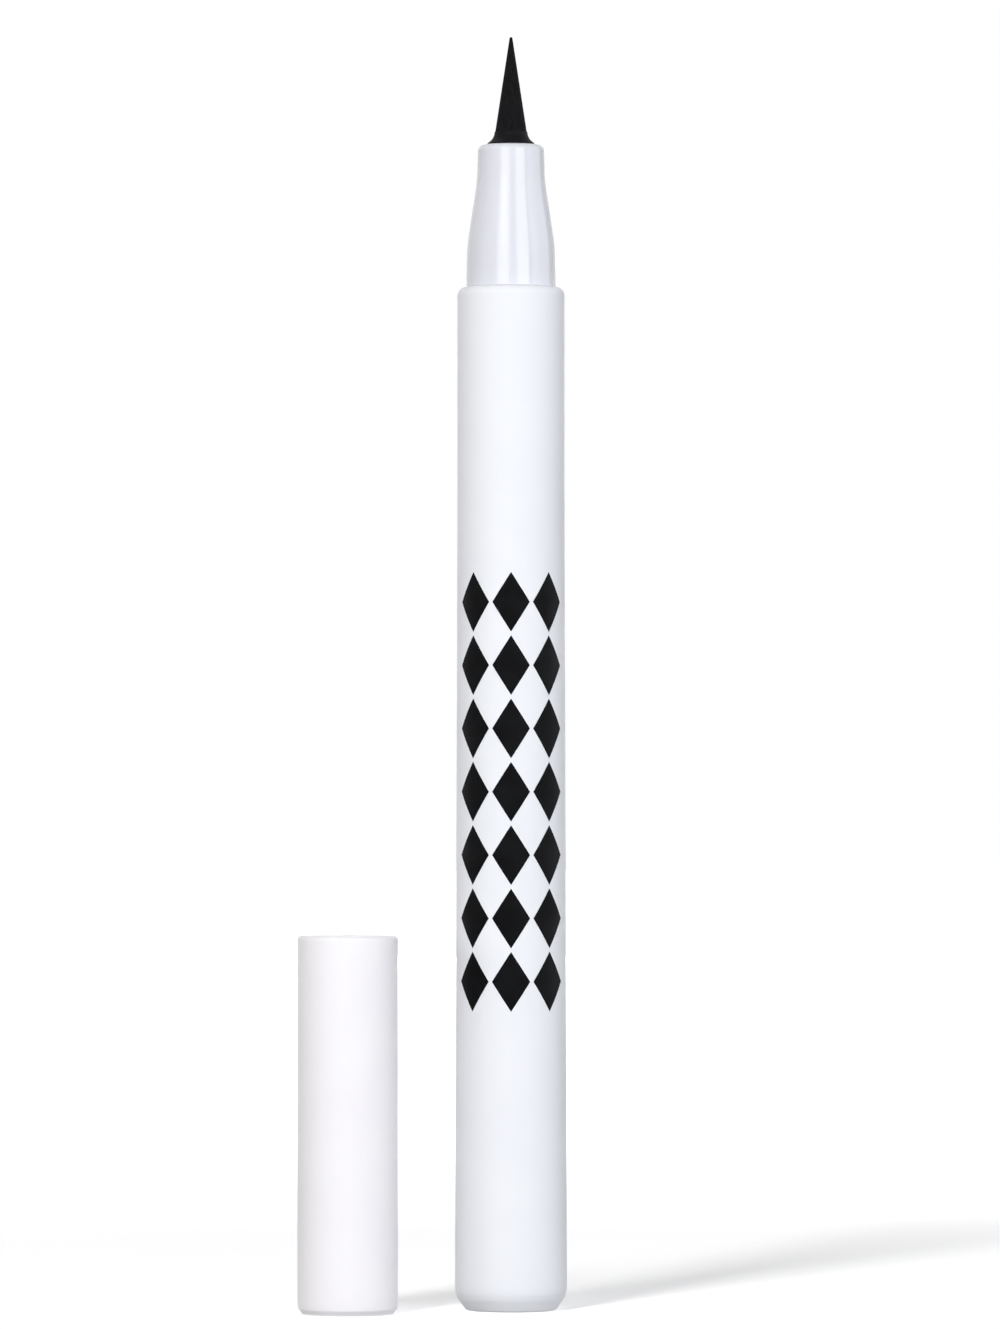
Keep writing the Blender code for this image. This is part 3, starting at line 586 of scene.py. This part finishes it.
# %% Turn the nose
NOSE_BASE_RADIUS = 0.00448
NOSE_BAND_RADIUS = 0.00439
NOSE_BAND_LENGTH = 0.0042
NOSE_NECK_LENGTH = 0.0036
NOSE_NECK_RADIUS = 0.0034
NOSE_TIP_RADIUS = 0.0033
NOSE_TIP_ROUND = 0.0006
NOSE_BLEND = 0.0009
SPIGOT_RADIUS = 0.00407
SPIGOT_LEAD_IN = 0.0003
CHAMBER_RADIUS = 0.00332
NOSE_BORE = 0.00196
CHAMBER_ABOVE_HOLDER = 0.00385

nose_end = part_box("grip_section")[0].z
nose_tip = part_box("grip_section")[1].z
nose_base = shoulder + SEAM
chamber_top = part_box("nib_holder")[0].z + CHAMBER_ABOVE_HOLDER
piece("nose", turned([
    (NOSE_BORE, nose_tip, TINY_ROUND),
    (NOSE_TIP_RADIUS, nose_tip, NOSE_TIP_ROUND),
    (NOSE_NECK_RADIUS, nose_tip - NOSE_NECK_LENGTH, NOSE_BLEND),
    (NOSE_BAND_RADIUS, nose_base + NOSE_BAND_LENGTH, NOSE_BLEND),
    (NOSE_BASE_RADIUS, nose_base, TINY_ROUND),
    (SPIGOT_RADIUS, nose_base, 0),
    (SPIGOT_RADIUS, nose_end + SPIGOT_LEAD_IN, 0),
    (SPIGOT_RADIUS - SPIGOT_LEAD_IN, nose_end, 0),
    (CHAMBER_RADIUS, nose_end, TINY_ROUND),
    (CHAMBER_RADIUS, chamber_top, 0),
    (NOSE_BORE, chamber_top, 0),
]), GLOSS_WHITE, "pen", "gloss_white", "grip_section")

# %% [markdown]
# ## The collar
# A black collar closes the nose's mouth and holds the nib. It flares out towards its base in one hollow
# curve, so it hugs the nib at the top and covers the mouth's edge at the bottom. The bevel of the outline's
# inner corner makes the curve, as a fillet does. Its brim is thin, and just round enough to glint.

# %% Turn the collar
NIB_SEAT_RADIUS = 0.00161
COLLAR_TOP_RADIUS = 0.00165
COLLAR_BRIM_RADIUS = 0.00236
COLLAR_BRIM = 0.0001
COLLAR_CURVE = 0.00052
COLLAR_NECK_RADIUS = 0.00193
STEM_BORE = 0.00123
SEAT_DEPTH = 0.00065
BRIM_ROUND = 0.00003

collar_neck_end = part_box("tip_collar")[0].z
collar_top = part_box("tip_collar")[1].z
collar_base = nose_tip + SEAT_GAP
flare_corner = (collar_top + collar_base + COLLAR_BRIM) / 2
piece("collar", turned([
    (NIB_SEAT_RADIUS, collar_top, 0),
    (COLLAR_TOP_RADIUS, collar_top, 0),
    (COLLAR_TOP_RADIUS, flare_corner, COLLAR_CURVE),
    (COLLAR_BRIM_RADIUS, collar_base + COLLAR_BRIM, BRIM_ROUND),
    (COLLAR_BRIM_RADIUS, collar_base, BRIM_ROUND),
    (COLLAR_NECK_RADIUS, collar_base, 0),
    (COLLAR_NECK_RADIUS, collar_neck_end, TINY_ROUND),
    (STEM_BORE, collar_neck_end, 0),
    (STEM_BORE, collar_top - SEAT_DEPTH, 0),
    (NIB_SEAT_RADIUS, collar_top - SEAT_DEPTH, 0),
]), SATIN_BLACK, "pen", "black_plastic", "tip_collar")

# %% [markdown]
# ## The nib
# The nib is a stick of fibres, pressed and ground to a point, and soaked with ink. Its cone could be left
# smooth, with streaks in the material alone, but its outline would then stay perfectly straight in a
# close view. So the cone gets real grooves: the spun surface has several columns of points to a strand,
# and those between two strands move in a little. The depth differs from strand to strand.

# %% Turn the nib and press its strands
NIB_RADIUS = 0.00158
NIB_SEAT_HEIGHT = 0.0006
NIB_STEM_RADIUS = 0.0012
NIB_POINT_RADIUS = 0.00013
NIB_POINT_ROUND = 0.00012
NIB_FACETS = 208
STRANDS = 52
GROOVE_SHARE = 0.011
STRAND_BEAT = 2.4
STRAND_VARIES = 0.6

nib_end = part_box("felt_nib")[0].z
nib_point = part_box("felt_nib")[1].z
bm = turned([
    (0, nib_point, 0),
    (NIB_POINT_RADIUS, nib_point, NIB_POINT_ROUND),
    (NIB_RADIUS, collar_top, TINY_ROUND),
    (NIB_RADIUS, collar_top - NIB_SEAT_HEIGHT, 0),
    (NIB_STEM_RADIUS, collar_top - NIB_SEAT_HEIGHT, 0),
    (NIB_STEM_RADIUS, nib_end, TINY_ROUND),
    (0, nib_end, 0),
], facets=NIB_FACETS)
for point in bm.verts:
    radius = point.co.xy.length
    if point.co.z > collar_top and radius > NIB_POINT_RADIUS / 2:
        angle = math.atan2(point.co.y, point.co.x)
        between = (1 - math.cos(STRANDS * angle)) / 2
        strand = math.floor(STRANDS * angle / math.tau)
        depth = GROOVE_SHARE * (1 + STRAND_VARIES * math.sin(STRAND_BEAT * strand))
        point.co.xy *= 1 - depth * between
piece("nib", bm, BLACK_FELT, "pen", "black_felt", "felt_nib")
print("strands:", STRANDS)

# %% [markdown]
# ## The print
# The front of the barrel carries a bold black print. Here it is three columns of plain lozenges, the old
# harlequin pattern. A texture could paint them, but a print is a real layer of ink with crisp edges, so
# each lozenge is a thin film of its own: a grid whose columns shrink to a point at both sides, bent round
# the barrel, and given its thickness by the solidify operator. The film's back lies just inside the wall.

# %% Print the lozenges
LOZENGE_ROWS = 7
LOZENGE_COLUMNS = 3
PRINT_LOW = 0.0299
PRINT_HIGH = 0.0736
PRINT_GAP = 0.00035
PRINT_TURN = math.radians(64)
PRINT_CELLS_ACROSS = 40
PRINT_CELLS_UP = 6
FILM_SUNK = 0.00001
FILM_THICKNESS = 0.00003


def barrel_radius(height):
    """The barrel's outer radius at a height, between its straight front and its tail."""
    bend = shoulder - BARREL_STRAIGHT
    if height > bend:
        return BARREL_FRONT_RADIUS
    share = (bend - height) / (bend - TAIL_BEND)
    return BARREL_FRONT_RADIUS + (BARREL_TAIL_RADIUS - BARREL_FRONT_RADIUS) * share


bm = bmesh.new()
pitch = (PRINT_HIGH - PRINT_LOW + PRINT_GAP) / LOZENGE_ROWS
half_height = (pitch - PRINT_GAP) / 2
gap_turn = PRINT_GAP / 2 / BARREL_FRONT_RADIUS
half_turn = (PRINT_TURN + gap_turn) / LOZENGE_COLUMNS
for i in range(LOZENGE_ROWS * LOZENGE_COLUMNS):
    row, column = divmod(i, LOZENGE_COLUMNS)
    middle = PRINT_LOW + pitch * row + half_height
    middle_turn = (2 * column + 1 - LOZENGE_COLUMNS) * half_turn
    grid = bmesh.ops.create_grid(
        bm, x_segments=PRINT_CELLS_ACROSS, y_segments=PRINT_CELLS_UP, size=1
    )["verts"]
    for point in grid:
        across, up = point.co.x, point.co.y * (1 - abs(point.co.x))
        height = middle + up * half_height
        radius = barrel_radius(height) - FILM_SUNK
        turn = middle_turn + across * (half_turn - gap_turn)
        point.co = (radius * math.sin(turn), -radius * math.cos(turn), height)
bmesh.ops.remove_doubles(bm, verts=bm.verts[:], dist=MERGE)
bmesh.ops.recalc_face_normals(bm, faces=bm.faces[:])
# The solidify operator adds the thickness behind the faces, so these have to face the barrel's axis
if sum(face.normal.dot(face.calc_center_median().xy.to_3d()) for face in bm.faces) > 0:
    bmesh.ops.reverse_faces(bm, faces=bm.faces[:])
bmesh.ops.solidify(bm, geom=bm.faces[:], thickness=FILM_THICKNESS)
piece("print_film", bm, PRINT_INK, "pen", "matte_white")
print("lozenges:", LOZENGE_ROWS * LOZENGE_COLUMNS)

# %% [markdown]
# ## The cap
# The cap stands mouth down beside the pen. Outside it is the plainest piece of all, so its two edges have
# to be right: the closed end has a small even round, and the mouth is drawn in over a longer curve, so
# that it meets the pen's shoulder in one line when the cap is on. Soft outline corners make that curve,
# and a slanting one at its end leaves the thin dark line on which the cap seems to stand. Inside are the
# skirt that slides on the nose, the bead that stops the inner cap, and the post that guides the spring.
# The gate's small dimple is in the middle of the closed end.

# %% Turn the cap
CAP_END_ROUND = 0.00045
MOUTH_CORNERS = (
    (0, 0.00125, 0.0004), (0.00005, 0.00052, 0.0001), (0.00041, 0.00012, 0.00004), (0.00042, 0, 0),
)
SKIRT_RADIUS = 0.00456
SKIRT_DEPTH = 0.0046
SKIRT_STEP = 0.0005
CAP_BORE = 0.004329
BEAD_RADIUS = 0.00396
BEAD_LOW = 0.0068
BEAD_HIGH = 0.0075
BEAD_TOP = 0.0082
CAP_END = 0.0011
POST_RADIUS = 0.00232
POST_LENGTH = 0.0032
GATE_RADIUS = 0.0007
GATE_DEPTH = 0.00012

low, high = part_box("cap_shell")
cap_axis = ((low.x + high.x) / 2, (low.y + high.y) / 2)
cap_radius = (high.x - low.x) / 2
cap_ceiling = high.z - CAP_END
piece("cap_tube", turned([
    (0, high.z - GATE_DEPTH, 0),
    (GATE_RADIUS - GATE_DEPTH, high.z - GATE_DEPTH, TINY_ROUND),
    (GATE_RADIUS, high.z, TINY_ROUND),
    (cap_radius, high.z, CAP_END_ROUND),
    *[(cap_radius - inwards, height, reach) for inwards, height, reach in MOUTH_CORNERS],
    (SKIRT_RADIUS, 0, 0),
    (SKIRT_RADIUS, SKIRT_DEPTH, TINY_ROUND),
    (CAP_BORE, SKIRT_DEPTH + SKIRT_STEP, TINY_ROUND),
    (CAP_BORE, BEAD_LOW, TINY_ROUND),
    (BEAD_RADIUS, BEAD_HIGH, EDGE_ROUND),
    (BEAD_RADIUS, BEAD_TOP, TINY_ROUND),
    (CAP_BORE, BEAD_TOP, 0),
    (CAP_BORE, cap_ceiling, EDGE_ROUND),
    (POST_RADIUS, cap_ceiling, 0),
    (POST_RADIUS, cap_ceiling - POST_LENGTH, EDGE_ROUND),
    (0, cap_ceiling - POST_LENGTH, 0),
], cap_axis), CAP_WHITE, "cap", "matte_white", "cap_shell")

# %% [markdown]
# ## The inner cap
# A soft cup inside the cap closes on the nose, so that the nib can't dry. Only its lower band touches the
# cap; above that it is relieved, and a post on its top carries the spring. It shows from below, when the
# cap is lifted, so its mouth is finished as well as the outside of the pen.

# %% Turn the inner cap
INNER_BORE = 0.003609
INNER_RADIUS = 0.004249
INNER_WALL = 0.00064
INNER_RELIEF = 0.0002
INNER_BAND = 0.0065

inner_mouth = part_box("inner_cap")[0].z
inner_post_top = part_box("inner_cap")[1].z
inner_top = inner_post_top - POST_LENGTH
piece("inner_cup", turned([
    (0, inner_post_top, 0),
    (POST_RADIUS, inner_post_top, EDGE_ROUND),
    (POST_RADIUS, inner_top, 0),
    (INNER_RADIUS - INNER_RELIEF, inner_top, EDGE_ROUND),
    (INNER_RADIUS - INNER_RELIEF, inner_mouth + INNER_BAND, EDGE_ROUND),
    (INNER_RADIUS, inner_mouth + INNER_BAND - INNER_RELIEF, EDGE_ROUND),
    (INNER_RADIUS, inner_mouth, EDGE_ROUND),
    (INNER_BORE, inner_mouth, EDGE_ROUND),
    (INNER_BORE, inner_top - INNER_WALL, EDGE_ROUND),
    (0, inner_top - INNER_WALL, 0),
], cap_axis), NATURAL, "inner_cap", "natural_plastic", "inner_cap")

# %% [markdown]
# ## The spring
# The spring is steel wire. A curve with a round bevel could make it, but the spin operator can wind it
# directly: a small circle goes round the axis and climbs a little at each step. The first and last turn
# are wound closer, as on every spring that stands on its end.
#
# The spring shortens when the inner cap is pushed up. Here it rides on the cap, with a mesh of its own.

# %% Wind the spring
WIRE_RADIUS = 0.0002
WIRE_FACETS = 14
SPRING_RADIUS = 0.0026
STEPS_PER_TURN = 32
CLOSE_PITCH = 0.0006
MIDDLE_PITCH = 0.0011
CLOSE_TURNS = 0.75
MIDDLE_TURNS = 0.25
SPRING_TURNS = 6

spring_low = inner_top + SEAT_GAP
spring_high = cap_ceiling - SEAT_GAP
open_turns = SPRING_TURNS - 2 * (CLOSE_TURNS + MIDDLE_TURNS)
end_rise = CLOSE_TURNS * CLOSE_PITCH + MIDDLE_TURNS * MIDDLE_PITCH
open_pitch = (spring_high - spring_low - 2 * WIRE_RADIUS - 2 * end_rise) / open_turns
bm = bmesh.new()
ring = bmesh.ops.create_circle(bm, segments=WIRE_FACETS, radius=WIRE_RADIUS)["verts"]
bmesh.ops.rotate(bm, verts=ring, cent=(0, 0, 0), matrix=Matrix.Rotation(math.radians(90), 3, "X"))
start = (cap_axis[0] + SPRING_RADIUS, cap_axis[1], spring_low + WIRE_RADIUS)
bmesh.ops.translate(bm, verts=ring, vec=start)
wire_end = bm.verts[:] + bm.edges[:]
for turns, pitch in (
    (CLOSE_TURNS, CLOSE_PITCH), (MIDDLE_TURNS, MIDDLE_PITCH), (open_turns, open_pitch),
    (MIDDLE_TURNS, MIDDLE_PITCH), (CLOSE_TURNS, CLOSE_PITCH),
):
    wire_end = bmesh.ops.spin(
        bm, geom=wire_end, cent=(*cap_axis, 0), axis=(0, 0, 1), dvec=(0, 0, pitch / STEPS_PER_TURN),
        angle=math.tau * turns, steps=round(STEPS_PER_TURN * turns),
    )["geom_last"]
bmesh.ops.holes_fill(bm, edges=[edge for edge in bm.edges if edge.is_boundary], sides=0)
spring = piece("spring_coil", bm, STEEL, "cap", "steel", "cap_spring")
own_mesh(spring)

# %% [markdown]
# ## Seals and balls
# Two rubber rings seal the ink tank, and two steel balls stir the ink. Nobody sees them, but they are
# round, and their CAD solids have only a few facets, so finer ones are cheap to make.

# %% Make the seals and the balls
RING_FACETS = 20
BALL_SEGMENTS = 48
BALL_RINGS = 24


def seal(name, middle, section, height, node):
    """A rubber ring: a small circle, spun once round the pen."""
    bm = bmesh.new()
    ring = bmesh.ops.create_circle(bm, segments=RING_FACETS, radius=section)["verts"]
    bmesh.ops.rotate(bm, verts=ring, cent=(0, 0, 0), matrix=Matrix.Rotation(math.radians(90), 3, "X"))
    bmesh.ops.translate(bm, verts=ring, vec=(middle, 0, height))
    bmesh.ops.spin(
        bm, geom=bm.verts[:] + bm.edges[:], cent=(0, 0, 0), axis=(0, 0, 1), dvec=(0, 0, 0),
        angle=math.tau, steps=FACETS, use_merge=True,
    )
    return piece(name, bm, GREY_RUBBER, "pen", "grey_rubber", node)


for name, node in (("tank_ring", "tank_seal"), ("front_ring", "front_seal")):
    low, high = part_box(node)
    section = (high.z - low.z) / 2
    seal(name, high.x - section, section, (low.z + high.z) / 2, node)

for number in (1, 2):
    node = f"mixing_ball_{number}"
    low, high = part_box(node)
    bm = bmesh.new()
    bmesh.ops.create_uvsphere(
        bm, u_segments=BALL_SEGMENTS, v_segments=BALL_RINGS, radius=(high.z - low.z) / 2
    )
    bmesh.ops.translate(bm, verts=bm.verts[:], vec=(low + high) / 2)
    piece(f"steel_ball_{number}", bm, STEEL, f"ball_{number}", "steel", node)

# %% [markdown]
# ## The pieces that keep their CAD shape
# The ink tank, its plug, the partition, the feed rod, the collector and the nib's holder are inside the
# barrel. Their CAD shape is right as it is, so they only get their finish.

# %% Give the CAD pieces their finish
CAD_FINISHES = {
    "ink_tank": NATURAL, "tank_plug": NATURAL, "nib_holder": NATURAL, "collector": NATURAL,
    "partition": GREY_RUBBER, "feed_rod": BLACK_FELT,
}
for node, material in CAD_FINISHES.items():
    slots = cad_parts[node].data.materials
    slots.clear()
    slots.append(material)
print("CAD pieces shown:", ", ".join(sorted(CAD_FINISHES)))

# %% [markdown]
# ## The last check
# The dressed model has to fill the same box as the CAD model.

# %% Compare the boxes
new_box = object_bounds()
growth = max(abs(a - b) for old, new in zip(cad_box, new_box) for a, b in zip(old, new))
print(f"largest difference between the boxes: {growth * 1000:.3f} mm")
